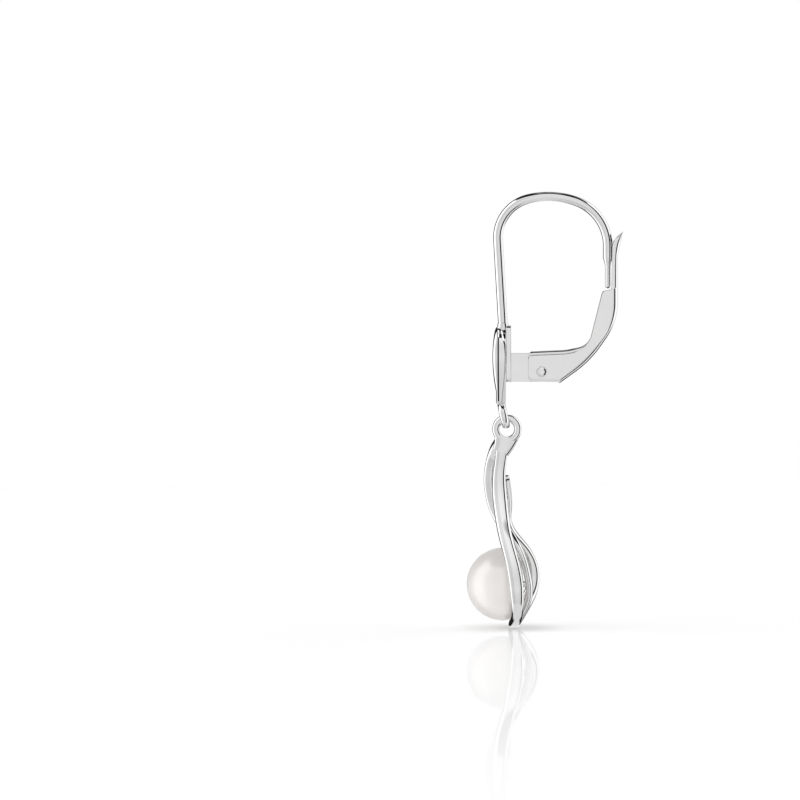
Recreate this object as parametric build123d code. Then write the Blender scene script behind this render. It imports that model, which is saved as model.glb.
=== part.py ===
from build123d import *
from collections import namedtuple
from math import cos, pi, radians, sin
import os

# Leverback earring with a button pearl in three flowing ribbons, in millimetres.
# The origin is the underside of the ear wire's crown, where the lobe's piercing hangs it.
# The front faces -Y, +X is to the right seen from the front, and +Z is up.

# Ear wire: a straight front leg, then three tangent arcs over the crown, then the back end
wire_d = 0.80
wire_shoulder = (-4.12, -3.16)
wire_leg = 7.30
wire_leg_angle = 93.4
wire_arcs = ((3.28, 78.2), (6.55, 36.8), (3.89, 68.4))
wire_full_end_z = -4.75
wire_tip_d = 0.44
wire_tip_start_z = -5.15
wire_tip_end_z = -7.12
wire_tip_rounding = 0.15

# Pear-shaped plate
plate_half_width = 1.65
plate_top_z = -10.25
plate_wide_z = -12.30
plate_flank_angle = 20.3
plate_flank_radius = 5.40
plate_neck_z = -16.66
plate_front_y = -4.55
plate_back_y = -3.45
plate_front_bevel = 0.42
plate_back_bevel = 0.12

# Ring in the plane of the plate, leaning back towards its lower end
plate_ring_y = -3.64
plate_ring_z = -17.54
plate_ring_mean_r = 0.905
plate_ring_wall = 0.50
plate_ring_thickness = 0.64
plate_ring_lean = 13.0

# Hinge bracket soldered behind the plate
strip_width = 1.10
strip_thickness = 0.42
strip_top_z = -10.15
strip_low_z = -14.84
strip_corner = 0.44
tab_thickness = 0.54
tab_top_z = -12.44
tab_low_z = -14.80
tab_end_y = 0.02
tab_corner = 0.55
tab_root_corner = 0.05

# Lever: a strip folded into a channel that is open towards the ear wire
lever_width = 0.90
lever_sheet = 0.14
lever_bend = 0.40
lever_reach = 4.60
lever_lead = 3.00
web_start_y = 0.80
mouth_reach = 5.00
channel_top_z = -3.20

# Rivet through the lever's walls and the tab
rivet_y = -0.52
rivet_z = -13.96
rivet_shaft_d = 0.50
rivet_hole_d = 0.54
rivet_head_d = 0.86
rivet_head_height = 0.09
rivet_head_gap = 0.01
rivet_head_edge = 0.072
rivet_dimple_d = 0.42
rivet_dimple_depth = 0.14

# Ring at the top of the drop, in the YZ plane, hanging on the plate's ring
drop_ring_x = 0.04
drop_ring_y = -3.37
drop_ring_z = -18.70
drop_ring_hole_d = 1.20
drop_ring_d = 2.42
drop_ring_thickness = 0.55
drop_ring_edge = 0.23

# Button pearl: a half sphere in front and a flatter back
pearl_d = 6.00
pearl_back_depth = 1.65
pearl_x = 0.37
pearl_y = -3.66
pearl_z = -31.45
peg_d = 0.55
peg_hole_gap = 0.02
peg_depth = 1.00
peg_end_y = -1.55

# Cutting boxes and holes reach this far past what they cut
cutter = 20.00
hole_over = 0.50

Corner = namedtuple("Corner", "y z radius")

# The lever's outline seen from the side, anticlockwise from the hinge's lower corner
lever_outline = (
    Corner(-1.61, -14.89, 0.30),
    Corner(0.95, -14.93, 0.12),
    Corner(3.45, -13.12, 9.00),
    Corner(5.71, -9.88, 5.20),
    Corner(5.70, -4.41, 3.00),
    Corner(6.11, -2.45, 0.08),
    Corner(5.26, -3.18, 1.20),
    Corner(5.17, -7.24, 0.12),
    Corner(4.44, -7.33, 0.35),
    Corner(3.32, -11.82, 1.30),
    Corner(1.48, -12.19, 3.50),
    Corner(-1.61, -12.33, 0.35),
)

ribbon_corner = 0.36

Station = namedtuple("Station", "x y z width depth")

# Strands of the drop: centre, width across the front view and depth from front to back.
# The loop runs down the right, under the pearl and up the left, where it roots in its own start.
loop_strand = (
    Station(0.02, -3.76, -20.25, 0.58, 1.05),
    Station(0.05, -3.88, -21.30, 0.63, 0.97),
    Station(0.24, -4.00, -22.45, 0.78, 1.05),
    Station(0.65, -3.98, -23.80, 0.85, 1.17),
    Station(1.45, -3.78, -25.55, 0.85, 1.18),
    Station(2.42, -3.47, -27.25, 0.84, 1.12),
    Station(3.37, -2.96, -29.05, 0.81, 1.10),
    Station(3.92, -2.58, -30.80, 0.79, 1.13),
    Station(3.83, -2.45, -32.20, 0.80, 1.08),
    Station(3.15, -2.45, -33.34, 0.74, 1.00),
    Station(1.80, -2.60, -34.27, 0.65, 0.99),
    Station(0.08, -2.75, -34.76, 0.59, 0.99),
    Station(-1.30, -2.52, -34.38, 0.76, 0.99),
    Station(-2.45, -1.92, -33.34, 0.98, 1.03),
    Station(-3.20, -1.34, -32.02, 1.04, 1.04),
    Station(-3.50, -1.32, -30.56, 0.99, 1.05),
    Station(-3.42, -1.95, -29.10, 0.92, 1.05),
    Station(-2.99, -3.05, -27.65, 0.84, 1.00),
    Station(-2.38, -3.46, -26.39, 0.74, 0.87),
    Station(-1.63, -3.38, -25.12, 0.72, 0.82),
    Station(-0.82, -3.42, -23.97, 0.76, 0.82),
    Station(0.20, -3.56, -22.75, 0.74, 0.82),
)
front_strand = (
    Station(-0.12, -3.99, -19.90, 0.66, 1.07),
    Station(-0.76, -4.33, -20.41, 0.66, 0.96),
    Station(-1.36, -4.62, -21.20, 0.68, 0.90),
    Station(-1.68, -4.84, -22.50, 0.70, 0.90),
    Station(-1.57, -4.77, -24.05, 0.64, 0.90),
    Station(-1.06, -4.31, -25.60, 0.54, 0.89),
    Station(-0.30, -3.53, -26.90, 0.55, 0.85),
    Station(0.50, -2.67, -28.18, 0.75, 0.79),
    Station(0.93, -2.00, -29.45, 0.88, 0.64),
    Station(0.85, -1.64, -30.71, 0.90, 0.58),
    Station(0.52, -1.50, -32.00, 0.88, 0.58),
    Station(0.27, -1.88, -33.40, 0.78, 0.64),
    Station(0.15, -2.62, -34.62, 0.46, 0.50),
)
# The neck joins the drop's ring to the strands
neck = (
    Station(0.03, -3.40, -19.30, 0.55, 2.00),
    Station(0.00, -3.58, -19.90, 0.66, 1.70),
    Station(-0.04, -3.90, -20.60, 0.72, 1.40),
)

side = Plane.YZ


def corner_loop(corners):
    """Closed outline of straight runs joined by tangent arcs, from (y, z, radius) corners."""
    return FilletPolyline(*[(c[0], c[1]) for c in corners], radius=[c[2] for c in corners], close=True)


def slab(corners, width):
    """Solid whose side view is the outline and which is centred on X."""
    return extrude(side * make_face(corner_loop(corners)), width / 2, both=True)


def direction(angle):
    """Unit vector in the side view, at an angle from +Y towards +Z."""
    return Vector(cos(radians(angle)), sin(radians(angle)))


def ear_wire():
    """Round wire from the plate's top over the crown to its thinner end in the lever."""
    heading = wire_leg_angle
    end = Vector(*wire_shoulder)
    path = Line(end - direction(heading) * wire_leg, end)
    for radius, turn in wire_arcs:
        arc = JernArc(end, direction(heading), radius, -turn)
        path += arc
        end = arc @ 1
        heading -= turn
    path += Line(end, (end.X, wire_full_end_z))
    path = side * path
    start = Plane(origin=path @ 0, z_dir=path % 0)
    wire = sweep(start * Circle(wire_d / 2), path)
    taper = loft([Plane.XY.offset(wire_full_end_z) * Pos(0, end.X) * Circle(wire_d / 2),
                  Plane.XY.offset(wire_tip_start_z) * Pos(0, end.X) * Circle(wire_tip_d / 2)])
    tip = Plane.XY.offset(wire_tip_end_z) * Pos(0, end.X) * extrude(
        Circle(wire_tip_d / 2), wire_tip_start_z - wire_tip_end_z)
    tip = fillet(tip.edges().sort_by(Axis.Z)[0], wire_tip_rounding)
    return wire + taper + tip


def pear_plate():
    """Pear outline: half an ellipse on top, then two arcs and two straight flanks."""
    turn = radians(plate_flank_angle)
    flank_x = plate_half_width - plate_flank_radius * (1 - cos(turn))
    flank_z = plate_wide_z - plate_flank_radius * sin(turn)
    neck_x = flank_x - (flank_z - plate_neck_z) * sin(turn) / cos(turn)
    top = EllipticalCenterArc((0, plate_wide_z), plate_half_width, plate_top_z - plate_wide_z, arc_size=180)
    outline = [top]
    for s in (1, -1):
        arc_end = (s * flank_x, flank_z)
        outline.append(TangentArc((s * plate_half_width, plate_wide_z), arc_end, tangent=(0, -1)))
        outline.append(Line(arc_end, (s * neck_x, plate_neck_z)))
    outline.append(Line((neck_x, plate_neck_z), (-neck_x, plate_neck_z)))
    face = Plane.XZ.offset(-plate_back_y) * make_face(outline)
    plate = extrude(face, plate_back_y - plate_front_y)
    plate = fillet(plate.faces().sort_by(Axis.Y)[0].edges(), plate_front_bevel)
    return chamfer(plate.faces().sort_by(Axis.Y)[-1].edges(), plate_back_bevel)


def plate_ring():
    """Ring with an oval section, in the plate's plane but leaning back at its lower end."""
    section = Plane.XZ * Pos(plate_ring_mean_r, 0) * Ellipse(plate_ring_wall / 2, plate_ring_thickness / 2)
    ring = revolve(section, Axis.Z)
    return Pos(0, plate_ring_y, plate_ring_z) * Rot(90 + plate_ring_lean, 0, 0) * ring


def hinge_bracket():
    """Strip along the plate's back and the tab that carries the rivet."""
    strip_height = strip_top_z - strip_low_z
    strip = Pos(0, plate_back_y + strip_thickness / 2, (strip_top_z + strip_low_z) / 2) * Box(
        strip_width, strip_thickness, strip_height)
    strip = fillet(strip.edges().filter_by(Axis.Y), strip_corner)
    tab = slab((
        Corner(plate_back_y, tab_low_z, tab_root_corner),
        Corner(tab_end_y, tab_low_z, tab_corner),
        Corner(tab_end_y, tab_top_z, tab_corner),
        Corner(plate_back_y, tab_top_z, tab_root_corner),
    ), tab_thickness)
    bore = side * Pos(rivet_y, rivet_z) * extrude(Circle(rivet_hole_d / 2), lever_width, both=True)
    return strip + tab - bore


def bend_sweep(width, inset, radius):
    """Slab with a rounded back, carried along the lever's outer bend and reaching inwards."""
    start, *bends, tip = [Vector(c.y, c.z) for c in lever_outline[1:6]]
    before = start + (start - bends[0]).normalized() * lever_lead
    beyond = tip + (tip - bends[-1]).normalized()
    spine = side * FilletPolyline(before, *bends, beyond, radius=[c.radius for c in lever_outline[2:5]])
    section = Pos(0, -inset - lever_reach / 2) * Rectangle(width, lever_reach)
    section = fillet(section.vertices().group_by(Axis.Y)[-1], radius)
    return sweep(Plane(origin=spine @ 0, x_dir=(1, 0, 0), z_dir=spine % 0) * section, spine)


def lever():
    """Channel: the outline's slab with a round back, hollowed from its inner side."""
    inside = lever_width - 2 * lever_sheet
    body = slab(lever_outline, lever_width) & bend_sweep(lever_width, 0, lever_bend)
    hollow = bend_sweep(inside, lever_sheet, lever_bend - lever_sheet)
    hollow = hollow & Pos(0, 0, channel_top_z - cutter / 2) * Box(inside, cutter, cutter)
    mouth = Pos(0, web_start_y - mouth_reach / 2, rivet_z) * Box(inside, mouth_reach, mouth_reach)
    bore = side * Pos(rivet_y, rivet_z) * extrude(Circle(rivet_hole_d / 2), lever_width, both=True)
    return body - hollow - mouth - bore


def rivet():
    """Shaft with two low heads, each with a dimple."""
    half = lever_width / 2 + rivet_head_gap
    shaft = extrude(Circle(rivet_shaft_d / 2), half, both=True)
    head = Pos(0, 0, half) * extrude(Circle(rivet_head_d / 2), rivet_head_height)
    head = fillet(head.edges().sort_by(Axis.Z)[-1], rivet_head_edge)
    dimple = Pos(0, 0, half + rivet_head_height - rivet_dimple_depth) * extrude(
        Circle(rivet_dimple_d / 2), rivet_dimple_depth)
    end = head - dimple
    solid = shaft + end + mirror(end, about=Plane.XY)
    solid = solid - dimple - mirror(dimple, about=Plane.XY)
    return side * Pos(rivet_y, rivet_z) * solid


def ribbon_sections(stations):
    """Rounded rectangles set square to the smooth line through the stations."""
    line = Spline(*[(s.x, s.y, s.z) for s in stations])
    sections = []
    for s in stations:
        along = line.tangent_at(line.param_at_point((s.x, s.y, s.z)))
        across = along.cross(Vector(0, 1, 0)).normalized()
        frame = Plane(origin=(s.x, s.y, s.z), x_dir=across, z_dir=along)
        corner = min(s.width, s.depth) * ribbon_corner
        sections.append(frame * RectangleRounded(s.width, s.depth, corner))
    return sections


def drop_ring():
    """Round ring with rounded edges, lying in the YZ plane."""
    wall = (drop_ring_d - drop_ring_hole_d) / 2
    mean_r = (drop_ring_d + drop_ring_hole_d) / 4
    section = Plane.XZ * Pos(mean_r, 0) * RectangleRounded(wall, drop_ring_thickness, drop_ring_edge)
    ring = revolve(section, Axis.Z)
    return Pos(drop_ring_x, drop_ring_y, drop_ring_z) * Rot(0, 90, 0) * ring


def pearl_body():
    """Half sphere in front and half an ellipsoid behind, turned about Y."""
    r = pearl_d / 2
    front = ThreePointArc((0, -r), (r * sin(pi / 4), -r * cos(pi / 4)), (r, 0))
    back = EllipticalCenterArc((0, 0), r, pearl_back_depth, arc_size=90)
    axis = Line((0, pearl_back_depth), (0, -r))
    return Pos(pearl_x, pearl_y, pearl_z) * revolve(make_face([front, back, axis]), Axis.Y)


def peg(radius, front_y, back_y):
    """Round peg along Y, from inside the pearl to the strand behind it."""
    face = Plane.XZ.offset(-back_y) * Pos(pearl_x, pearl_z) * Circle(radius)
    return extrude(face, back_y - front_y)


def pearl():
    """Button pearl with a blind hole in its back for the peg."""
    back_y = pearl_y + pearl_back_depth
    hole = peg(peg_d / 2 + peg_hole_gap, back_y - peg_depth - peg_hole_gap, back_y + hole_over)
    return pearl_body() - hole


def drop_frame():
    """One casting: ring, neck, the strands and the pearl's peg."""
    loop = ribbon_sections(loop_strand)
    ribbons = loft(loop[:-1]) + loft(loop[-2:]) + loft(ribbon_sections(front_strand))
    frame = drop_ring() + loft(ribbon_sections(neck)) + ribbons
    return frame + peg(peg_d / 2, pearl_y + pearl_back_depth - peg_depth, peg_end_y)


os.makedirs("parts", exist_ok=True)
nodes = {
    "ear_hook": ear_wire() + pear_plate() + plate_ring() + hinge_bracket(),
    "lever": lever(),
    "hinge_rivet": rivet(),
    "drop_frame": drop_frame(),
    "pearl": pearl(),
}
for name, solid in nodes.items():
    print(name, "volume", round(solid.volume, 3), "solids", len(solid.solids()), "valid", solid.is_valid)
    export_step(solid, f"parts/{name}.step")
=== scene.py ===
import bmesh
import bpy
import numpy as np
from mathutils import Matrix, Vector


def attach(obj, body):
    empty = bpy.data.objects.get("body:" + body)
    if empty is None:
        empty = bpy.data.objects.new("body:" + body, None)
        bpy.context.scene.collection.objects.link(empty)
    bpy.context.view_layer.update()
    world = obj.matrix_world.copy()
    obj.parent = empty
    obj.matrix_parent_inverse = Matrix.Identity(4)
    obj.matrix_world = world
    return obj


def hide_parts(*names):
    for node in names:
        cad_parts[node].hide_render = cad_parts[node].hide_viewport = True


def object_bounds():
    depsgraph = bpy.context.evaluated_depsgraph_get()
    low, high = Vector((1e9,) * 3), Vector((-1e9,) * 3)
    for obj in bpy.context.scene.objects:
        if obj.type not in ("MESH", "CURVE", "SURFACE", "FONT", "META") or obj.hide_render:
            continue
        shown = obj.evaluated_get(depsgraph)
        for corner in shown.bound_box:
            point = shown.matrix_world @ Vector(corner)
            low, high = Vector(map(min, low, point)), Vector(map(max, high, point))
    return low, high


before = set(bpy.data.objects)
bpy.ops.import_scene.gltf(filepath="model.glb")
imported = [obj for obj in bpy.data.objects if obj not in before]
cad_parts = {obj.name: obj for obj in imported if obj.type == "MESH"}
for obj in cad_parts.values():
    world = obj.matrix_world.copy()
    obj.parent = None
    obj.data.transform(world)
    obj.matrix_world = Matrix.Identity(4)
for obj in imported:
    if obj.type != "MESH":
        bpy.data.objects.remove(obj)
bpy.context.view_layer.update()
print("frame loaded:", ", ".join(sorted(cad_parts)))

# Tables are in millimetres, as the source of the part has them, and the scene is in metres
metre = 0.001
# what is merged in every mesh, in metres, and from which angle an edge is sharp, in degrees
meshRule = {"merge": 2e-8, "degenerate": 1e-9, "sharp": 42}


def linearColour(hexCode):
    # an sRGB hex colour as linear light
    raw = np.array([int(hexCode[i:i + 2], 16) for i in (1, 3, 5)]) / 255
    lin = np.where(raw <= 0.04045, raw / 12.92, ((raw + 0.055) / 1.055) ** 2.4)
    return (float(lin[0]), float(lin[1]), float(lin[2]), 1.0)


def addNode(tree, kind, settings=(), **links):
    # one node with its settings, its sockets' values and its links; a name_0 style key is a socket by number
    node = tree.nodes.new(kind)
    for key, value in dict(settings).items():
        setattr(node, key, value)
    for key, value in links.items():
        slotKey = int(key.split("_")[1]) if key.startswith("in_") else key.replace("_", " ")
        socket = node.inputs[slotKey]
        if isinstance(value, bpy.types.NodeSocket):
            tree.links.new(value, socket)
        else:
            socket.default_value = value
    return node


def gridFaces(rows, cols, closedRows=False, closedCols=False):
    # quads between neighbouring lines; a closed direction joins its last line to its first
    i = np.arange(rows if closedRows else rows - 1)[:, None]
    j = np.arange(cols if closedCols else cols - 1)[None, :]
    nextRow, nextCol = (i + 1) % rows, (j + 1) % cols
    quads = [i * cols + j, i * cols + nextCol, nextRow * cols + nextCol, nextRow * cols + j]
    return np.stack(quads, -1).reshape(-1, 4)


def gridSurface(points, closedRows=False, closedCols=False):
    # a grid of points (rows, columns, xyz) as vertices and quads
    rows, cols = points.shape[:2]
    return points.reshape(-1, 3), gridFaces(rows, cols, closedRows, closedCols)


def makePiece(name, surfaces, body, nodes, material):
    # joins closed surfaces into one mesh, merges poles and seams, turns all faces outwards
    counts = np.cumsum([0] + [len(verts) for verts, faces in surfaces])
    allVerts = np.concatenate([verts for verts, faces in surfaces]) * metre
    allFaces = np.concatenate([faces + start for (verts, faces), start in zip(surfaces, counts)])
    mesh = bpy.data.meshes.new(name)
    mesh.from_pydata(allVerts.tolist(), [], allFaces.tolist())
    work = bmesh.new()
    work.from_mesh(mesh)
    bmesh.ops.remove_doubles(work, verts=work.verts, dist=meshRule["merge"])
    bmesh.ops.dissolve_degenerate(work, edges=work.edges, dist=meshRule["degenerate"])
    bmesh.ops.recalc_face_normals(work, faces=work.faces)
    work.to_mesh(mesh)
    work.free()
    mesh.polygons.foreach_set("use_smooth", np.ones(len(mesh.polygons), bool))
    mesh.set_sharp_from_angle(angle=np.radians(meshRule["sharp"]))
    mesh.materials.append(material)
    piece = bpy.data.objects.new(name, mesh)
    bpy.context.scene.collection.objects.link(piece)
    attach(piece, body)
    if nodes:
        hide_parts(*nodes)
    print("made", name, len(mesh.polygons), "faces")
    return piece


def filletPath(corners, perArc):
    # an open line through (y, z, radius) corners, whose inner corners are tangent arcs
    pts = np.array([c[:2] for c in corners], float)
    out = [pts[:1]]
    for k in range(1, len(corners) - 1):
        back, ahead = pts[k - 1] - pts[k], pts[k + 1] - pts[k]
        back, ahead = back / np.linalg.norm(back), ahead / np.linalg.norm(ahead)
        half = np.arccos(np.clip(back @ ahead, -1, 1)) / 2
        radius = corners[k][2]
        bisector = (back + ahead) / np.linalg.norm(back + ahead)
        centre = pts[k] + bisector * radius / np.sin(half)
        start = pts[k] + back * radius / np.tan(half) - centre
        turn = (np.pi - 2 * half) * np.sign(back[1] * ahead[0] - back[0] * ahead[1])
        steps = np.linspace(0, turn, perArc)
        out.append(centre + np.stack([start[0] * np.cos(steps) - start[1] * np.sin(steps),
                                      start[0] * np.sin(steps) + start[1] * np.cos(steps)], -1))
    out.append(pts[-1:])
    return np.concatenate(out)


def resample(line, wanted):
    # points of a line at the given shares of its length
    length = np.concatenate([[0], np.cumsum(np.linalg.norm(np.diff(line, axis=0), axis=1))])
    at = np.asarray(wanted) * length[-1]
    return np.stack([np.interp(at, length, line[:, k]) for k in range(line.shape[1])], -1)


def smoothTable(table, count):
    # natural cubic spline through the rows of a table, by the chord length of their first three columns
    rows = np.array(table, float)
    t = np.concatenate([[0], np.cumsum(np.linalg.norm(np.diff(rows[:, :3], axis=0), axis=1))])
    n, h = len(t), np.diff(t)
    system, right = np.eye(n), np.zeros(rows.shape)
    k = np.arange(1, n - 1)
    system[k, k - 1], system[k, k], system[k, k + 1] = h[:-1], 2 * (h[:-1] + h[1:]), h[1:]
    slope = np.diff(rows, axis=0) / h[:, None]
    right[1:-1] = 6 * np.diff(slope, axis=0)
    bend = np.linalg.solve(system, right)
    s = np.linspace(0, t[-1], count)
    i = np.clip(np.searchsorted(t, s, "right") - 1, 0, n - 2)
    a, b, w = (t[i + 1] - s)[:, None], (s - t[i])[:, None], h[i][:, None]
    return (bend[i] * a ** 3 / (6 * w) + bend[i + 1] * b ** 3 / (6 * w)
            + (rows[i] / w - bend[i] * w / 6) * a + (rows[i + 1] / w - bend[i + 1] * w / 6) * b)


def roundedBox(width, depth, corner, steps=7, support=0.02):
    # a closed section of four quarter arcs, with a point beside each arc's ends so that the flats stay flat
    quarters = []
    for k in range(4):
        angle, middle = np.radians(90 * k + np.linspace(0, 90, steps)), np.radians(90 * k + 45)
        x = np.sign(np.cos(middle)) * (width / 2 - corner) + corner * np.cos(angle)
        y = np.sign(np.sin(middle)) * (depth / 2 - corner) + corner * np.sin(angle)
        first, last = angle[0], angle[-1]
        x = np.concatenate([x[:1] + support * np.sin(first), x, x[-1:] - support * np.sin(last)])
        y = np.concatenate([y[:1] - support * np.cos(first), y, y[-1:] + support * np.cos(last)])
        quarters.append(np.stack([x, y], -1))
    return np.concatenate(quarters)


def capped(points):
    # closes both ends of a carried section with a ring drawn in to the section's middle
    first, last = points[:1], points[-1:]
    return np.concatenate([first * 0 + first.mean(1, keepdims=True), points,
                           last * 0 + last.mean(1, keepdims=True)])


# Rhodium-plated white gold, cast or drawn and polished to a mirror: a cool near-white metal whose
# look is all reflection, with a trace of polishing haze that softens the dark lines
whiteGoldLook = {"bright": "#E9E9E8", "dim": "#DFE0E0", "roughnessLow": 0.015, "roughnessHigh": 0.05,
                 "hazeMm": 1.6, "hazeLow": 0.35, "hazeHigh": 0.65, "polishMm": 0.25,
                 "polishDepthMm": 0.0004}


def makeWhiteGold(look):
    material = bpy.data.materials.new("rhodiumWhiteGold")
    material.use_nodes = True
    tree = material.node_tree
    tree.nodes.clear()
    place = addNode(tree, "ShaderNodeTexCoord").outputs["Object"]
    # clouds of haze as wide as the buff leaves them
    haze = addNode(tree, "ShaderNodeTexNoise", Vector=place, Scale=1 / (look["hazeMm"] * metre), Detail=3.0)
    tone = addNode(tree, "ShaderNodeMix", {"data_type": "RGBA"}, Factor=haze.outputs[0],
                   in_6=linearColour(look["dim"]), in_7=linearColour(look["bright"]))
    rough = addNode(tree, "ShaderNodeMapRange", Value=haze.outputs[0], in_1=look["hazeLow"],
                    in_2=look["hazeHigh"], in_3=look["roughnessLow"], in_4=look["roughnessHigh"])
    # polishing waves, far wider than the real marks, which are too fine to show
    waves = addNode(tree, "ShaderNodeTexNoise", Vector=place, Scale=1 / (look["polishMm"] * metre),
                    Detail=1.0)
    bump = addNode(tree, "ShaderNodeBump", Height=waves.outputs[0], Strength=1.0,
                   Distance=look["polishDepthMm"] * metre)
    shader = addNode(tree, "ShaderNodeBsdfPrincipled", Base_Color=tone.outputs[2], Metallic=1.0,
                     Roughness=rough.outputs[0], Normal=bump.outputs[0])
    addNode(tree, "ShaderNodeOutputMaterial", Surface=shader.outputs[0])
    return material


# Nacre of a cultured pearl, grown in thin layers: a white body with a breath of rose, soft reflections
# that seem to lie a little under the surface, and a clear polish on top
nacreLook = {"body": "#FEFBF9", "rose": "#FAF5F2", "cloudMm": 2.4, "grainMm": 0.12, "grainDepthMm": 0.0006,
             "roughness": 0.30, "clearSkin": 0.12, "sheen": 1.0, "sheenRoughness": 0.30,
             "lustre": 0.15, "rimLustre": 0.0, "lustreRoughness": 0.20, "lustreTint": "#FFFBF9",
             "ior": 1.53, "grainStrength": 0.5, "rimBlend": 0.35, "rimFrom": 0.15, "rimTo": 0.60}


def makeNacre(look):
    material = bpy.data.materials.new("pearlNacre")
    material.use_nodes = True
    tree = material.node_tree
    tree.nodes.clear()
    place = addNode(tree, "ShaderNodeTexCoord").outputs["Object"]
    cloud = addNode(tree, "ShaderNodeTexNoise", Vector=place, Scale=1 / (look["cloudMm"] * metre), Detail=2.0)
    body = addNode(tree, "ShaderNodeMix", {"data_type": "RGBA"}, Factor=cloud.outputs[0],
                   in_6=linearColour(look["body"]), in_7=linearColour(look["rose"]))
    grain = addNode(tree, "ShaderNodeTexNoise", Vector=place, Scale=1 / (look["grainMm"] * metre), Detail=2.0)
    bump = addNode(tree, "ShaderNodeBump", Height=grain.outputs[0], Strength=look["grainStrength"],
                   Distance=look["grainDepthMm"] * metre)
    skin = addNode(tree, "ShaderNodeBsdfPrincipled", Base_Color=body.outputs[2], IOR=look["ior"],
                   Specular_IOR_Level=look["clearSkin"], Sheen_Weight=look["sheen"],
                   Sheen_Roughness=look["sheenRoughness"], Roughness=look["roughness"],
                   Normal=bump.outputs[0])
    # the stacked layers together reflect far more than one clear skin would
    lustre = addNode(tree, "ShaderNodeBsdfGlossy", Color=linearColour(look["lustreTint"]),
                     Roughness=look["lustreRoughness"], Normal=bump.outputs[0])
    # towards the rim the gloss gives way to the pale body
    facing = addNode(tree, "ShaderNodeLayerWeight", Blend=look["rimBlend"])
    amount = addNode(tree, "ShaderNodeMapRange", Value=facing.outputs["Facing"], in_1=look["rimFrom"],
                     in_2=look["rimTo"], in_3=look["lustre"], in_4=look["rimLustre"])
    both = addNode(tree, "ShaderNodeMixShader", in_0=amount.outputs[0], in_1=skin.outputs[0],
                   in_2=lustre.outputs[0])
    addNode(tree, "ShaderNodeOutputMaterial", Surface=both.outputs[0])
    return material


whiteGold = makeWhiteGold(whiteGoldLook)
nacre = makeNacre(nacreLook)
print("materials ready")

# Ear wire: a straight leg, three tangent arcs over the crown, then the back end with its thin tip
earWireSizes = {"thickness": 0.80, "shoulderY": -4.12, "shoulderZ": -3.16, "leg": 7.30, "legAngle": 93.4,
                "arcs": ((3.28, 78.2), (6.55, 36.8), (3.89, 68.4)), "fullEndZ": -4.75, "tipThickness": 0.44,
                "tipStartZ": -5.15, "tipEndZ": -7.12, "intoPlate": 0.45,
                # shares of the length at the foot and at the tip that get finer rings
                "footPart": 0.06, "tipPart": 0.14,
                # solder collar at the foot: where it starts, how far it stands out there and lower down
                "collarTopZ": -9.93, "collarStep": 0.035, "collarSoft": 0.05, "collarFlare": 0.055,
                "collarPower": 1.6, "collarHeight": 0.36}


def earWireSurface(s, steps=360, around=40):
    # a circle carried along the line; its heading is a straight-line table over the length, and its
    # radius falls along the taper, ends in a round tip and flares in the solder collar at the plate
    radii = np.array([r for r, turn in s["arcs"]])
    turns = np.radians([turn for r, turn in s["arcs"]])
    runs = np.concatenate([[s["leg"]], radii * turns])
    marks = np.concatenate([[0], np.cumsum(runs)])
    headings = np.radians(s["legAngle"]) - np.concatenate([[0, 0], np.cumsum(turns)])
    fine = np.linspace(0, marks[-1], 4000)
    middle = (fine[1:] + fine[:-1]) / 2
    angle = np.interp(middle, marks, headings)
    step = np.diff(fine)[:, None] * np.stack([np.cos(angle), np.sin(angle)], -1)
    line = np.concatenate([[[0, 0]], np.cumsum(step, axis=0)])
    atShoulder = np.stack([np.interp(s["leg"], fine, line[:, k]) for k in (0, 1)])
    line = line - atShoulder + [s["shoulderY"], s["shoulderZ"]]
    into = line[0] - np.array([np.cos(headings[0]), np.sin(headings[0])]) * s["intoPlate"]
    down = np.array([line[-1, 0], s["tipEndZ"]])
    line = np.concatenate([[into], line, [down]])
    even = np.linspace(0, 1, steps)
    footShare = np.linspace(0, s["footPart"], 90)
    tipShare = 1 - np.geomspace(1, 0.002, 40) * s["tipPart"]
    between = even[(even > s["footPart"]) & (even < 1 - s["tipPart"])]
    share = np.unique(np.concatenate([footShare, between, tipShare, [1]]))
    path = resample(line, share)
    ahead = np.gradient(path, axis=0)
    ahead /= np.linalg.norm(ahead, axis=1)[:, None]
    atEnd = (path[:, 0] > 3) & (path[:, 1] < s["fullEndZ"])
    radius = np.full(len(path), s["thickness"] / 2)
    taper = np.clip((s["fullEndZ"] - path[:, 1]) / (s["fullEndZ"] - s["tipStartZ"]), 0, 1)
    taper = taper * taper * (3 - 2 * taper)
    radius = np.where(atEnd, radius + (s["tipThickness"] / 2 - s["thickness"] / 2) * taper, radius)
    left = np.clip((path[:, 1] - s["tipEndZ"]) / (s["tipThickness"] / 2), 0, 1)
    radius = np.where(atEnd, radius * np.sqrt(1 - (1 - left) ** 2), radius)
    belowTop = np.clip(s["collarTopZ"] - path[:, 1], -1, s["collarHeight"])
    step = np.clip(belowTop / s["collarSoft"], 0, 1)
    swell = s["collarStep"] * step * step * (3 - 2 * step)
    swell = swell + s["collarFlare"] * (np.clip(belowTop, 0, None) / s["collarHeight"]) ** s["collarPower"]
    radius = radius + np.where(path[:, 0] < 0, swell, 0)
    ring = np.linspace(0, 2 * np.pi, around, endpoint=False)
    side = np.stack([np.zeros(len(path)), -ahead[:, 1], ahead[:, 0]], -1)
    centre = np.stack([np.zeros(len(path)), path[:, 0], path[:, 1]], -1)
    outward = (np.cos(ring)[None, :, None] * np.array([1.0, 0, 0])
               + np.sin(ring)[None, :, None] * side[:, None])
    points = centre[:, None] + radius[:, None, None] * outward
    return gridSurface(capped(points), closedCols=True)


makePiece("ear_wire", [earWireSurface(earWireSizes)], "hook", ["ear_hook"], whiteGold)

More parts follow.
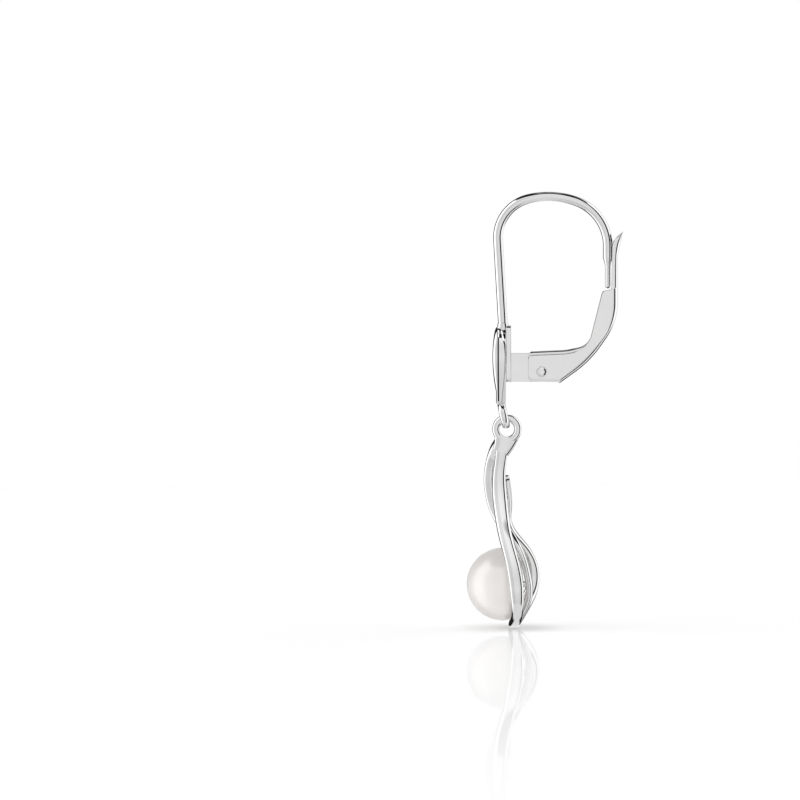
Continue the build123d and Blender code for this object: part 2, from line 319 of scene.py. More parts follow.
# Pear-shaped plate with a wide front bevel, thinner towards its top and its neck
plateSizes = {"halfWidth": 1.65, "topZ": -10.25, "wideZ": -12.30, "flankAngle": 20.3,
              "flankRadius": 5.40, "neckZ": -16.66, "backY": -3.45, "rimY": -4.13,
              "bevel": 0.42, "domeZ": -12.75,
              "domeFall": 0.034, "leastDepth": 0.14, "middleLift": 0.55, "flatEdge": 0.02, "backRound": 0.03,
              # the side wall stands this far in, and a narrow band leads out from it to the front bevel
              "wallInset": 0.06, "frontBand": 0.125, "ringShares": (0.0, 0.06, 0.94),
              # height, how far forward the back facet reaches and how wide the dark crease before it is
              "backFacet": ((-16.6, 0.36, 0.03), (-16.0, 0.33, 0.03), (-14.3, 0.14, 0.03),
                            (-12.9, 0.08, 0.03), (-12.4, 0.08, 0.05), (-11.7, 0.14, 0.12),
                            (-11.0, 0.32, 0.14), (-10.2, 0.48, 0.12)),
              "bandLean": 26.0, "facetLean": 8.0}


def pearOutline(s, perPart=46):
    # the right side from the top to the neck, then its mirror image back up
    angle = np.radians(np.linspace(90, 0, perPart))
    top = np.stack([s["halfWidth"] * np.cos(angle),
                    s["wideZ"] + (s["topZ"] - s["wideZ"]) * np.sin(angle)], -1)
    turn = np.radians(np.linspace(0, s["flankAngle"], 20))[1:]
    flank = np.stack([s["halfWidth"] - s["flankRadius"] * (1 - np.cos(turn)),
                      s["wideZ"] - s["flankRadius"] * np.sin(turn)], -1)
    z = np.linspace(flank[-1, 1], s["neckZ"], 20)[1:]
    straight = np.stack([flank[-1, 0] + (z - flank[-1, 1]) * np.tan(turn[-1]), z], -1)
    right = np.concatenate([top, flank, straight])
    left = right[1:][::-1] * [-1, 1]
    return np.concatenate([right, left])


def plateSurface(s, bevelSteps=10):
    # rings drawn in from the outline towards the plate's upright middle line: back, facet, crease, side wall,
    # step, front bevel, face
    edge = pearOutline(s)
    middle = np.stack([edge[:, 0] * 0, np.clip(edge[:, 1], s["neckZ"] + s["middleLift"], s["wideZ"])], -1)
    room = np.linalg.norm(middle - edge, axis=1)
    depthAt = lambda z: np.maximum(s["bevel"] - s["domeFall"] * (z - s["domeZ"]) ** 2, s["leastDepth"])
    rings = []

    def addRing(inset, y, bulge=0.0):
        flat = edge + (middle - edge) * (np.minimum(inset, room) / room)[:, None]
        rings.append(np.stack([flat[:, 0], y - bulge * depthAt(flat[:, 1]), flat[:, 1]], -1))

    addRing(room, s["backY"])
    heights, reaches, bands = np.array(s["backFacet"]).T
    reach, band = np.interp(edge[:, 1], heights, reaches), np.interp(edge[:, 1], heights, bands)
    creaseIn = s["wallInset"] + band * np.tan(np.radians(s["bandLean"]))
    facetIn = creaseIn + np.maximum(reach - band - s["flatEdge"], 0.01) * np.tan(np.radians(s["facetLean"]))
    # every corner of this profile has a ring close by on both sides, so that the flats between stay flat
    none = 0 * reach
    corners = [(facetIn + s["backRound"], s["backY"]), (facetIn, s["backY"] - s["flatEdge"]),
               (creaseIn, s["backY"] - reach + band), (s["wallInset"] + none, s["backY"] - reach),
               (s["wallInset"] + none, s["rimY"] + s["frontBand"] + none), (none, s["rimY"] + none)]
    for (inset, y), (nextInset, nextY) in zip(corners, corners[1:]):
        for share in s["ringShares"]:
            addRing(inset + (nextInset - inset) * share, y + (nextY - y) * share)
    for turn in np.radians(np.linspace(0, 90, bevelSteps)):
        addRing(s["bevel"] * (1 - np.cos(turn)), s["rimY"], np.sin(turn))
    faceIn = s["bevel"] + s["flatEdge"]
    addRing(faceIn, s["rimY"], 1.0)
    for share in np.linspace(0.25, 1.0, 6):
        addRing(faceIn + (room - s["bevel"] - s["flatEdge"]) * share, s["rimY"], 1.0)
    return gridSurface(np.stack(rings), closedCols=True)


def turned(points, degrees, centre):
    # points turned about X, then moved to a centre
    c, s = np.cos(np.radians(degrees)), np.sin(np.radians(degrees))
    x, y, z = points[..., 0], points[..., 1], points[..., 2]
    return np.stack([x, y * c - z * s, y * s + z * c], -1) + np.array(centre)


plateRingSizes = {"centre": (0.0, -3.64, -17.54), "meanRadius": 0.905, "wall": 0.50, "thickness": 0.64,
                  "lean": 13.0}


def ringSurface(meanRadius, profile, steps=96):
    # a closed section (points, 2) of radial and axial sizes, turned about Z
    angle = np.linspace(0, 2 * np.pi, steps, endpoint=False)[:, None]
    reach = meanRadius + profile[None, :, 0]
    return np.stack([reach * np.cos(angle), reach * np.sin(angle), profile[None, :, 1] + 0 * angle], -1)


def ovalProfile(width, height, count=32):
    angle = np.linspace(0, 2 * np.pi, count, endpoint=False)
    return np.stack([width / 2 * np.cos(angle), height / 2 * np.sin(angle)], -1)


def plateRingSurface(s):
    points = ringSurface(s["meanRadius"], ovalProfile(s["wall"], s["thickness"]))
    return gridSurface(turned(points, 90 + s["lean"], s["centre"]), True, True)


makePiece("pear_plate", [plateSurface(plateSizes), plateRingSurface(plateRingSizes)], "hook", ["ear_hook"],
          whiteGold)

# Hinge bracket: a strip along the plate's back and the tab that carries the rivet
bracketSizes = {"stripWidth": 1.10, "stripThickness": 0.42, "stripTopZ": -10.15, "stripLowZ": -14.84,
                "stripCorner": 0.44, "tabThickness": 0.54, "tabTopZ": -12.44, "tabLowZ": -14.80,
                "tabFrontY": -3.45, "tabEndY": 0.02, "tabCorner": 0.55, "edge": 0.06,
                "rivetY": -0.52, "rivetZ": -13.96, "hole": 0.54}


def slabRings(outline, centre, half, edge, steps=5, holeRadius=None):
    # a flat slab: rings in the outline's plane, from one face round the softened edge to the other face;
    # it closes at a centre point, or in a round hole whose wall joins the two faces
    away = outline - centre
    room = np.linalg.norm(away, axis=1, keepdims=True)
    unit = away / room
    turn = np.radians(np.linspace(0, 90, steps))
    rings = []
    inner = unit * (holeRadius or 0.0)
    rings.append((inner, half - (edge / 2 if holeRadius else 0)))
    if holeRadius:
        rings.append((inner + unit * edge / 2, half))
    rings.append((away - unit * (edge + 0.02), half))
    rings += [(away - unit * edge * (1 - np.sin(a)), half - edge * (1 - np.cos(a))) for a in turn]
    rings += [(away - unit * edge * (1 - np.sin(a)), -half + edge * (1 - np.cos(a))) for a in turn[::-1]]
    rings.append((away - unit * (edge + 0.02), -half))
    if holeRadius:
        rings.append((inner + unit * edge / 2, -half))
    rings.append((inner, -half + (edge / 2 if holeRadius else 0)))
    return [(flat + centre, level) for flat, level in rings]


def boxOutline(low, high, corners, perArc=9):
    # corners counter-clockwise from the low one, each with its own radius
    spots = [(low[0], low[1]), (high[0], low[1]), (high[0], high[1]), (low[0], high[1])]
    out = []
    for k, (spot, radius) in enumerate(zip(spots, corners)):
        angle = np.radians(180 + 90 * k + np.linspace(0, 90, perArc))
        sign = np.array([1 if k in (0, 3) else -1, 1 if k in (0, 1) else -1])
        out.append(np.array(spot) + sign * radius + radius * np.stack([np.cos(angle), np.sin(angle)], -1))
    corner = np.concatenate(out)
    # the straight runs get points too
    closed = np.concatenate([corner, corner[:1]])
    return resample(closed, np.linspace(0, 1, 160, endpoint=False))


def bracketSurfaces(s):
    half = s["stripWidth"] / 2
    strip = boxOutline((-half, s["stripLowZ"]), (half, s["stripTopZ"]), (s["stripCorner"],) * 4)
    rings = slabRings(strip, strip.mean(0), s["stripThickness"] / 2, s["edge"])
    midY = s["tabFrontY"] + s["stripThickness"] / 2
    stripPoints = np.stack([np.stack([p[:, 0], midY + 0 * p[:, 0] + level, p[:, 1]], -1)
                            for p, level in rings])
    tab = boxOutline((s["tabFrontY"] + 0.1, s["tabLowZ"]), (s["tabEndY"], s["tabTopZ"]),
                     (0.05, s["tabCorner"], s["tabCorner"], 0.05))
    rivet = np.array([s["rivetY"], s["rivetZ"]])
    rings = slabRings(tab, rivet, s["tabThickness"] / 2, s["edge"], holeRadius=s["hole"] / 2)
    tabPoints = np.stack([np.stack([level + 0 * p[:, 0], p[:, 0], p[:, 1]], -1) for p, level in rings])
    return [gridSurface(stripPoints, closedCols=True), gridSurface(tabPoints, True, True)]


makePiece("hinge_bracket", bracketSurfaces(bracketSizes), "hook", ["ear_hook"], whiteGold)

# Lever: a channel bent from strip, open towards the ear wire, with a softened rim round its walls
leverSizes = {"width": 0.90, "sheet": 0.14, "bend": 0.44, "rimWide": 0.27, "rimCrease": 0.045, "rimEndY": 3.3,
              "rimFade": 1.3, "webStartY": 0.80, "channelTopZ": -3.20,
              "outer": ((-1.61, -14.59, 0), (-1.61, -14.89, 0.28), (0.95, -14.93, 0.12), (3.45, -13.12, 9.00),
                        (5.71, -9.88, 5.20), (5.70, -4.41, 3.00), (6.11, -2.47, 0)),
              "inner": ((-1.61, -12.68, 0), (-1.61, -12.33, 0.33), (1.48, -12.19, 3.50), (3.32, -11.82, 1.30),
                        (4.44, -7.33, 0.35), (5.17, -7.24, 0.12), (5.26, -3.18, 1.20), (6.09, -2.47, 0)),
              # shares of the outer and the inner line that face each other, and rungs up to the next pair
              "pairs": ((0.0, 0.0, 14), (0.028, 0.032, 26), (0.16, 0.19, 60), (0.52, 0.36, 60),
                        (0.735, 0.6735, 10), (0.742, 0.7105, 60), (0.95, 0.935, 24), (1.0, 1.0, 0)),
              # the most that the bend and the rim take of a rung
              "bendMost": 0.62, "rimMost": 0.3,
              # across the rim: share of its width, share of the crease's depth, fall of the far chamfer
              "rim": ((-0.24, 0.0, 0.0), (-0.22, 0.02, 0.0), (-0.20, 0.10, 0.0), (0.0, 1.0, 0.0),
                      (0.20, 0.10, 0.0), (0.22, 0.02, 0.0), (0.24, 0.0, 0.0), (0.60, 0.0, 0.0),
                      (0.62, 0.0, 0.003), (0.64, 0.0, 0.008), (0.86, 0.0, 0.048), (0.88, 0.0, 0.053),
                      (0.93, 0.0, 0.068), (0.97, 0.0, 0.088), (1.0, 0.0, 0.12))}


def leverSurfaces(s):
    # each rung from the outer to the inner line carries half of the channel's section: flat web, bend,
    # wall, softened rim, inner wall, inner bend; the other half is its mirror image
    outerLine, innerLine = filletPath(s["outer"], 30), filletPath(s["inner"], 24)
    shares = np.concatenate([np.stack([np.linspace(a[0], b[0], a[2], endpoint=False),
                                       np.linspace(a[1], b[1], a[2], endpoint=False)], -1)
                             for a, b in zip(s["pairs"], s["pairs"][1:])] + [[s["pairs"][-1][:2]]])
    outer, inner = resample(outerLine, shares[:, 0]), resample(innerLine, shares[:, 1])
    # a rung is doubled where the web starts and where the hollow ends, so that the step is upright
    webAt = int(np.argmax(outer[:, 0] > s["webStartY"]))
    solidAt = int(np.argmax((inner[:, 1] > s["channelTopZ"]) & (inner[:, 0] > 5)))
    order = np.sort(np.concatenate([np.arange(len(outer)), [webAt, solidAt]]))
    first = np.concatenate([[True], np.diff(order) > 0])
    mouth = (order < webAt) | ((order == webAt) & first)
    solid = (order > solidAt) | ((order == solidAt) & ~first)
    outer, inner = outer[order], inner[order]
    reach = np.linalg.norm(inner - outer, axis=1)
    unit = (inner - outer) / np.maximum(reach, 1e-6)[:, None]
    half, sheet = s["width"] / 2, s["sheet"]
    h = reach[:, None]
    bend = np.minimum(s["bend"], s["bendMost"] * h)
    turn = np.radians(np.linspace(0, 90, 12))[None, :]
    # the rim is a flat bead: a fine V crease parts it from the wall, its far side is chamfered and
    # rounded, and the crease runs out where the lever turns up
    crease = np.clip((s["rimEndY"] - inner[:, :1]) / s["rimFade"], 0, 1)
    wide = np.minimum(s["rimWide"] * (0.4 + 0.6 * crease), s["rimMost"] * h)
    up, vee, over = np.array(s["rim"]).T[:, None]
    rimFall = s["rimCrease"] * crease * vee + over
    one = np.ones_like(h)
    inside = half - sheet
    outX = np.concatenate([0 * one, half - bend - 0.01, half - bend + bend * np.sin(turn), half * one,
                           half * one, half * one, half - rimFall], 1)
    outD = np.concatenate([0 * one, 0 * one, bend - bend * np.cos(turn), bend + 0.02, (bend + h - wide) / 2,
                           h - 1.35 * wide, h - wide + wide * up], 1)
    inBend = np.maximum(bend - sheet, 0.02)
    inX = np.concatenate([inside * one, inside * one, inside * one,
                          half - bend + inBend * np.sin(turn[:, ::-1]), 0 * one], 1)
    inD = np.concatenate([h - 0.01, (bend + h) / 2, bend + 0.02, bend - inBend * np.cos(turn[:, ::-1]),
                          (bend - inBend) * one], 1)
    lowest = s["bend"] - np.sqrt(s["bend"] ** 2 - (inside - half + s["bend"]) ** 2)
    mouthX, mouthD = np.maximum(outX, inside), np.where(outX < inside, np.maximum(outD, lowest), outD)
    outX, outD = np.where(mouth[:, None], mouthX, outX), np.where(mouth[:, None], mouthD, outD)
    inX = np.where(mouth[:, None], inside, inX)
    even = np.linspace(inside, 0, inX.shape[1])[None, :] * one
    inX, inD = np.where(solid[:, None], even, inX), np.where(solid[:, None], h, inD)
    x, d = np.concatenate([outX, inX], 1), np.concatenate([outD, inD], 1)
    flat = outer[:, None] + unit[:, None] * d[..., None]
    points = np.stack([x, flat[..., 0], flat[..., 1]], -1)
    # the hinge end closes on the wall's own mid-plane, with a softened edge
    start, end = points[:1].copy(), points[-1:].copy()
    middle = half - sheet / 2
    soft = start.copy()
    soft[..., 0] = middle + (soft[..., 0] - middle) * 0.45
    start[..., 0] = middle
    soft[..., 1] -= 0.03
    start[..., 1] -= 0.03
    end = end * 0 + end.mean(1, keepdims=True)
    points = np.concatenate([start, soft, points, end])
    mouth = np.concatenate([[True, True], mouth, [False]])
    rows, cols = points.shape[:2]
    faces = gridFaces(rows, cols)
    i = np.flatnonzero(mouth[:-1])
    closing = np.stack([i * cols + cols - 1, i * cols, (i + 1) * cols, (i + 1) * cols + cols - 1], -1)
    faces = np.concatenate([faces, closing])
    verts = points.reshape(-1, 3)
    return [(verts, faces), (verts * [-1, 1, 1], faces[:, ::-1])]


makePiece("channel_lever", leverSurfaces(leverSizes), "lever_arm", ["lever"], whiteGold)

# Tubular rivet: a shaft and two heads with a rolled lip round the pin's flat end
rivetSizes = {"y": -0.52, "z": -13.96, "shaft": 0.50, "head": 0.90, "start": 0.46, "height": 0.10,
              "pin": 0.245, "pinFoot": 0.41, "pinRise": 0.088, "lip": 0.43, "lipRound": 0.05}


def rivetSurface(s, around=64):
    # a half profile of (x, radius) from the middle to the end, mirrored and turned about X: a rolled lip
    # and inside it the pin's flat end with a wide chamfer
    r, top = s["head"] / 2, s["start"] + s["height"]
    roll = np.radians(np.linspace(-80, 80, 9))
    rim = r - s["lip"]
    crest = np.stack([top - s["lipRound"] + s["lipRound"] * np.sin(roll), s["lip"] + rim * np.cos(roll)], -1)
    foot = top - s["pinRise"]
    bowl = np.array([[foot + 0.005, s["pinFoot"] + 0.006], [foot, s["pinFoot"]],
                     [foot + 0.004, s["pinFoot"] - 0.006], [top - 0.004, s["pin"] + 0.006],
                     [top, s["pin"] - 0.004], [top, s["pin"] - 0.03],
                     [top + 0.002, s["pin"] * 0.5], [top + 0.003, 0.0]])
    profile = np.concatenate([[[0, s["shaft"] / 2], [s["start"] - 0.01, s["shaft"] / 2],
                               [s["start"], s["shaft"] / 2 + 0.01]], crest, bowl])
    profile = np.concatenate([profile[::-1] * [-1, 1], profile[1:]])
    angle = np.linspace(0, 2 * np.pi, around, endpoint=False)[None, :]
    x, radius = profile[:, :1], profile[:, 1:]
    points = np.stack([x + 0 * angle, s["y"] + radius * np.cos(angle), s["z"] + radius * np.sin(angle)], -1)
    return gridSurface(points, closedCols=True)


makePiece("tubular_rivet", [rivetSurface(rivetSizes)], "lever_arm", ["hinge_rivet"], whiteGold)

# Strands of the drop: x, y, z, width across the front view, depth from front to back
loopStrand = (
    (0.02, -3.76, -20.25, 0.58, 1.05),
    (0.05, -3.88, -21.30, 0.63, 0.97),
    (0.24, -4.00, -22.45, 0.78, 1.05),
    (0.65, -3.98, -23.80, 0.85, 1.17),
    (1.45, -3.78, -25.55, 0.85, 1.18),
    (2.42, -3.47, -27.25, 0.84, 1.12),
    (3.37, -2.96, -29.05, 0.81, 1.10),
    (3.92, -2.58, -30.80, 0.79, 1.13),
    (3.83, -2.45, -32.20, 0.80, 1.08),
    (3.15, -2.45, -33.34, 0.74, 1.00),
    (1.80, -2.60, -34.27, 0.65, 0.99),
    (0.08, -2.75, -34.76, 0.59, 0.99),
    (-1.30, -2.52, -34.38, 0.76, 0.99),
    (-2.45, -1.92, -33.34, 0.98, 1.03),
    (-3.20, -1.34, -32.02, 1.04, 1.04),
    (-3.50, -1.32, -30.56, 0.99, 1.05),
    (-3.42, -1.95, -29.10, 0.92, 1.05),
    (-2.99, -3.05, -27.65, 0.84, 1.00),
    (-2.38, -3.46, -26.39, 0.74, 0.87),
    (-1.63, -3.38, -25.12, 0.72, 0.82),
    (-0.82, -3.42, -23.97, 0.76, 0.82),
    (0.20, -3.56, -22.75, 0.74, 0.82),
)
frontStrand = (
    (-0.12, -3.99, -19.90, 0.66, 1.07),
    (-0.76, -4.33, -20.41, 0.66, 0.96),
    (-1.36, -4.62, -21.20, 0.68, 0.90),
    (-1.68, -4.84, -22.50, 0.70, 0.90),
    (-1.57, -4.77, -24.05, 0.64, 0.90),
    (-1.06, -4.31, -25.60, 0.54, 0.89),
    (-0.30, -3.53, -26.90, 0.55, 0.85),
    (0.50, -2.67, -28.18, 0.75, 0.79),
    (0.93, -2.00, -29.45, 0.88, 0.64),
    (0.85, -1.64, -30.71, 0.90, 0.58),
    (0.52, -1.50, -32.00, 0.88, 0.58),
    (0.27, -1.88, -33.40, 0.78, 0.64),
    (0.15, -2.62, -34.62, 0.46, 0.50),
)
neckStations = (
    (0.03, -3.40, -19.30, 0.55, 2.00),
    (0.00, -3.58, -19.90, 0.66, 1.70),
    (-0.04, -3.90, -20.60, 0.72, 1.40),
)
dropSizes = {"crownPower": 0.66, "frontTurn": 8.0, "ringCentre": (0.04, -3.37, -18.70), "ringHole": 1.20,
             "ringOuter": 2.42, "ringThickness": 0.55, "ringEdge": 0.265, "peg": 0.55, "pegFrontY": -3.01,
             "pegEndY": -1.55}


def ribbonSurface(table, s, rowsPerMm=7, turn=0.0):
    # rounded sections square to a smooth line; their width lies across the line and Y, but for a turn
    rough = np.array(table)[:, :3]
    count = int(np.linalg.norm(np.diff(rough, axis=0), axis=1).sum() * rowsPerMm)
    rows = smoothTable(table, count)
    centre, width, depth = rows[:, :3], rows[:, 3], rows[:, 4]
    along = np.gradient(centre, axis=0)
    along /= np.linalg.norm(along, axis=1)[:, None]
    across = np.cross(along, [0.0, 1.0, 0.0])
    across /= np.linalg.norm(across, axis=1)[:, None]
    inward = np.cross(along, across)
    across, inward = (across * np.cos(np.radians(turn)) + inward * np.sin(np.radians(turn)),
                      inward * np.cos(np.radians(turn)) - across * np.sin(np.radians(turn)))
    # the section is a superellipse: half the size times a power of the cosine and of the sine
    angle = np.linspace(0, 2 * np.pi, 56, endpoint=False)
    shape = np.stack([np.cos(angle), np.sin(angle)], -1)
    shape = np.sign(shape) * np.abs(shape) ** s["crownPower"]
    section = shape[None] * np.stack([width, depth], -1)[:, None] / 2
    points = (centre[:, None] + section[..., :1] * across[:, None] + section[..., 1:] * inward[:, None])
    return gridSurface(capped(points), closedCols=True)


def dropRingSurface(s):
    wall = (s["ringOuter"] - s["ringHole"]) / 2
    profile = roundedBox(wall, s["ringThickness"], s["ringEdge"])
    points = ringSurface((s["ringOuter"] + s["ringHole"]) / 4, profile)
    # the ring lies in the YZ plane: its own Z becomes X
    lying = np.stack([points[..., 2], points[..., 0], points[..., 1]], -1) + np.array(s["ringCentre"])
    return gridSurface(lying, True, True)


pearlSizes = {"diameter": 6.00, "backDepth": 1.65, "centre": (0.37, -3.66, -31.45), "hole": 0.59,
              "holeDepth": 1.02}


def pegSurface(s, centre, around=40):
    angle = np.linspace(0, 2 * np.pi, around, endpoint=False)[None, :]
    level = np.array([s["pegFrontY"], s["pegFrontY"] + 0.03, s["pegEndY"]])[:, None]
    radius = s["peg"] / 2 * np.array([0.88, 1.0, 1.0])[:, None]
    points = np.stack([centre[0] + radius * np.cos(angle), level + 0 * angle,
                       centre[2] + radius * np.sin(angle)], -1)
    return gridSurface(capped(points), closedCols=True)


dropSurfaces = [dropRingSurface(dropSizes), ribbonSurface(neckStations, dropSizes),
                ribbonSurface(loopStrand, dropSizes),
                ribbonSurface(frontStrand, dropSizes, turn=dropSizes["frontTurn"]),
                pegSurface(dropSizes, pearlSizes["centre"])]
makePiece("ribbon_drop", dropSurfaces, "drop", ["drop_frame"], whiteGold)


def pearlSurface(s, around=160, steps=90):
    # half a sphere in front and half a flatter ellipsoid behind, turned about Y, with a blind hole behind;
    # a slow swell of a few micrometres keeps it from being a perfect ball
    r = s["diameter"] / 2
    hole = s["hole"] / 2
    front = np.radians(np.linspace(-90, 0, steps))
    back = np.radians(np.linspace(0, 90, steps))[1:]
    last = np.arccos(hole / r)
    back = back[back < last]
    profile = np.concatenate([
        np.stack([r * np.cos(front), r * np.sin(front)], -1),
        np.stack([r * np.cos(back), s["backDepth"] * np.sin(back)], -1),
        [[hole, s["backDepth"] * np.sin(last)], [hole, s["backDepth"] - s["holeDepth"]],
         [0, s["backDepth"] - s["holeDepth"]]]])
    profile[0, 0] = 0
    angle = np.linspace(0, 2 * np.pi, around, endpoint=False)[None, :]
    reach, level = profile[:, :1], profile[:, 1:]
    swell = 1 - 0.0012 * (1 + np.sin(2 * angle + 0.7)) * np.clip(reach / r, 0, 1) ** 2
    reach = reach * swell
    x, z = reach * np.cos(angle), reach * np.sin(angle)
    points = np.stack([x, level + 0 * angle, z], -1) + np.array(s["centre"])
    return gridSurface(points, closedCols=True)


makePiece("button_pearl", [pearlSurface(pearlSizes)], "drop", ["pearl"], nacre)

# Floor: pale glossy acrylic under the lowest point
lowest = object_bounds()[0]
# besides the look of the floor, this table sets a painted shadow: its centre in X and Y and its reach in
# millimetres, and its depth
floorLook = {"colour": "#FFFFFF", "half": 0.16, "matt": "#F3F3F3", "gloss": 0.30, "glossRoughness": 0.03,
             "glow": 0.46, "shadowX": 0.4, "shadowY": -3.2, "shadowReach": 6.4, "shadowDepth": 0.85,
             "fadeFrom": 0.020, "fadeTo": 0.150, "gap": 0.00003}


def makeFloor(look, level):
    # a flat disc of rings, finer towards the middle
    radius = np.concatenate([[0], np.geomspace(0.002, look["half"], 30)])[:, None]
    angle = np.linspace(0, 2 * np.pi, 96, endpoint=False)[None, :]
    points = np.stack([radius * np.cos(angle), radius * np.sin(angle), level + 0 * radius * angle], -1)
    verts, faces = gridSurface(points, closedCols=True)
    mesh = bpy.data.meshes.new("pale_floor")
    mesh.from_pydata(verts.tolist(), [], faces.tolist())
    floor = bpy.data.objects.new("pale_floor", mesh)
    bpy.context.scene.collection.objects.link(floor)
    material = bpy.data.materials.new("paleAcrylic")
    material.use_nodes = True
    tree = material.node_tree
    tree.nodes.clear()
    place = addNode(tree, "ShaderNodeTexCoord").outputs["Object"]
    away = addNode(tree, "ShaderNodeVectorMath", {"operation": "LENGTH"}, in_0=place)
    fade = addNode(tree, "ShaderNodeMapRange", Value=away.outputs["Value"], in_1=look["fadeFrom"],
                   in_2=look["fadeTo"], in_3=look["gloss"], in_4=0.0)
    # a painted shadow: a soft dark spot in the floor's glow, painted where the drop all but touches the floor
    # at rest;
    # it is no cast shadow and stays there when the drop swings
    under = addNode(tree, "ShaderNodeVectorMath", {"operation": "DISTANCE"}, in_0=place,
                    in_1=(look["shadowX"] * metre, look["shadowY"] * metre, level))
    spot = addNode(tree, "ShaderNodeMapRange", {"interpolation_type": "SMOOTHERSTEP"},
                   Value=under.outputs["Value"], in_1=0.0, in_2=look["shadowReach"] * metre,
                   in_3=1 - look["shadowDepth"], in_4=1.0)
    matt = addNode(tree, "ShaderNodeBsdfDiffuse", Color=linearColour(look["matt"]))
    shine = addNode(tree, "ShaderNodeMath", {"operation": "MULTIPLY"}, in_0=spot.outputs[0],
                    in_1=look["glow"])
    glow = addNode(tree, "ShaderNodeEmission", Color=linearColour(look["colour"]), Strength=shine.outputs[0])
    body = addNode(tree, "ShaderNodeAddShader", in_0=matt.outputs[0], in_1=glow.outputs[0])
    gloss = addNode(tree, "ShaderNodeBsdfGlossy", Color=linearColour(look["colour"]),
                    Roughness=look["glossRoughness"])
    both = addNode(tree, "ShaderNodeMixShader", in_0=fade.outputs[0], in_1=body.outputs[0],
                   in_2=gloss.outputs[0])
    # reflections pass through the floor, so that the tent alone draws on the metal from below
    passes = addNode(tree, "ShaderNodeLightPath").outputs["Is Glossy Ray"]
    clear = addNode(tree, "ShaderNodeBsdfTransparent")
    shown = addNode(tree, "ShaderNodeMixShader", in_0=passes, in_1=both.outputs[0], in_2=clear.outputs[0])
    addNode(tree, "ShaderNodeOutputMaterial", Surface=shown.outputs[0])
    mesh.materials.append(material)
    return floor


makeFloor(floorLook, lowest.z - floorLook["gap"])

# Light tent: white cloth with soft boxes, a pale grey wall behind the camera and dark flags that draw
# the dark lines on polished metal. It is fitted to this camera's view: from some other sides a flat
# face mirrors a flag whole and turns black. Azimuths are from +X towards +Y.
tentLook = {
    # degrees of azimuth and the brightness there
    "round": ((-180, 1.0), (-171, 1.0), (-167, 0.02), (-118, 0.02), (-113, 1.2), (-105, 1.6),
              (-68, 1.6), (-58, 0.90), (-36, 0.80), (-14, 0.76), (-8, 0.86), (-5, 0.94),
              (5, 0.94), (14, 0.86), (35, 0.86), (38, 0.02), (68, 0.02), (71, 1.25),
              (142, 1.3), (150, 0.3), (167, 0.3), (171, 1.0), (180, 1.0)),
    # degrees of elevation and how much of it the tent's cloth lets through there
    "above": ((-90, 0.75), (-73, 0.80), (-45, 0.86), (-25, 0.92), (-12, 1.0), (14, 0.94), (30, 1.0),
              (45, 1.15), (55, 1.2), (58, 0.02), (78, 0.02), (82, 0.5), (90, 0.5)),
    # a black card low behind the right side: its reach in azimuth and in elevation
    "cardRound": ((-180, 0), (110, 0), (117, 1), (168, 1), (172, 0), (180, 0)),
    "cardHigh": ((-90, 0), (-58, 0), (-50, 1), (-24, 1), (-17, 0), (90, 0)),
    # the white table that the metal sees steeply below, whatever the azimuth
    "table": ((-90, 1), (-62, 1), (-52, 0), (90, 0)), "tableLight": 0.85, "cardLight": 0.02,
    "background": 1.0,
}


def rampNode(tree, value, table, low, high):
    # a table of (angle, brightness) as a ramp from low to high; a ramp holds 0 to 1, so half scale
    unit = addNode(tree, "ShaderNodeMapRange", Value=value, in_1=low, in_2=high, in_3=0.0, in_4=1.0)
    ramp = addNode(tree, "ShaderNodeValToRGB", Fac=unit.outputs[0])
    ramp.color_ramp.interpolation = "LINEAR"
    elements = ramp.color_ramp.elements
    while len(elements) > 1:
        elements.remove(elements[-1])
    for k, (angle, bright) in enumerate(table):
        spot = (angle - low) / (high - low)
        element = elements[0] if k == 0 else elements.new(spot)
        element.position = spot
        element.color = (bright / 2, bright / 2, bright / 2, 1)
    full = addNode(tree, "ShaderNodeMath", {"operation": "MULTIPLY"}, in_0=ramp.outputs[0], in_1=2.0)
    return full.outputs[0]


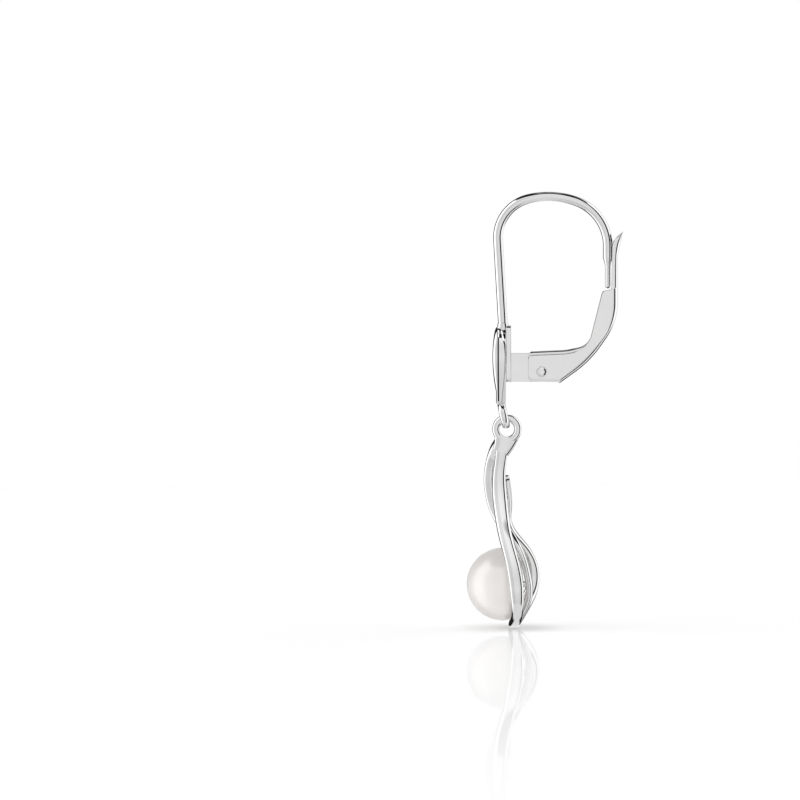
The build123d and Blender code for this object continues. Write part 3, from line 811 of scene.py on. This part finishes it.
def makeTent(look):
    world = bpy.data.worlds.new("lightTent")
    bpy.context.scene.world = world
    world.use_nodes = True
    tree = world.node_tree
    tree.nodes.clear()
    way = addNode(tree, "ShaderNodeTexCoord").outputs["Generated"]
    axes = addNode(tree, "ShaderNodeSeparateXYZ", Vector=way).outputs
    azimuth = addNode(tree, "ShaderNodeMath", {"operation": "ARCTAN2"}, in_0=axes[1], in_1=axes[0])
    azimuth = addNode(tree, "ShaderNodeMath", {"operation": "DEGREES"}, in_0=azimuth.outputs[0])
    height = addNode(tree, "ShaderNodeMath", {"operation": "ARCSINE"}, in_0=axes[2])
    height = addNode(tree, "ShaderNodeMath", {"operation": "DEGREES"}, in_0=height.outputs[0])
    around = rampNode(tree, azimuth.outputs[0], look["round"], -180, 180)
    above = rampNode(tree, height.outputs[0], look["above"], -90, 90)
    cardRound = rampNode(tree, azimuth.outputs[0], look["cardRound"], -180, 180)
    cardHigh = rampNode(tree, height.outputs[0], look["cardHigh"], -90, 90)
    card = addNode(tree, "ShaderNodeMath", {"operation": "MULTIPLY"}, in_0=cardRound, in_1=cardHigh)
    cloth = addNode(tree, "ShaderNodeMath", {"operation": "MULTIPLY"}, in_0=around, in_1=above)
    dark = addNode(tree, "ShaderNodeMix", {"data_type": "FLOAT"}, in_0=card.outputs[0], in_2=cloth.outputs[0],
                   in_3=look["cardLight"])
    table = rampNode(tree, height.outputs[0], look["table"], -90, 90)
    tent = addNode(tree, "ShaderNodeMix", {"data_type": "FLOAT"}, in_0=table, in_2=dark.outputs[0],
                   in_3=look["tableLight"])
    seen = addNode(tree, "ShaderNodeLightPath").outputs["Is Camera Ray"]
    both = addNode(tree, "ShaderNodeMix", {"data_type": "FLOAT"}, in_0=seen, in_2=tent.outputs[0],
                   in_3=look["background"])
    back = addNode(tree, "ShaderNodeBackground", Color=(1, 1, 1, 1), Strength=both.outputs[0])
    addNode(tree, "ShaderNodeOutputWorld", Surface=back.outputs[0])


makeTent(tentLook)

# Camera: the photograph's long view of the side, a little from behind and from above
cameraView = {"azimuth": 92.0, "elevation": 3.5, "lens": 300.0, "sensor": 36.0,
              "frameMm": 65.76, "lookAt": (0.0, -12.17, -16.33)}


def makeCamera(v):
    data = bpy.data.cameras.new("side_camera")
    camera = bpy.data.objects.new("side_camera", data)
    bpy.context.scene.collection.objects.link(camera)
    data.lens = v["lens"]
    data.sensor_width = v["sensor"]
    data.clip_start, data.clip_end = 0.01, 10.0
    turn, lift = np.radians(v["azimuth"]), np.radians(v["elevation"])
    back = np.array([np.sin(turn) * np.cos(lift), -np.cos(turn) * np.cos(lift), np.sin(lift)])
    distance = v["frameMm"] * v["lens"] / data.sensor_width
    camera.location = (np.array(v["lookAt"]) + back * distance) * metre
    camera.rotation_euler = (np.pi / 2 - lift, 0, turn)
    bpy.context.scene.camera = camera


makeCamera(cameraView)
bpy.context.scene.view_settings.view_transform = "Standard"
print("floor, light and camera ready")
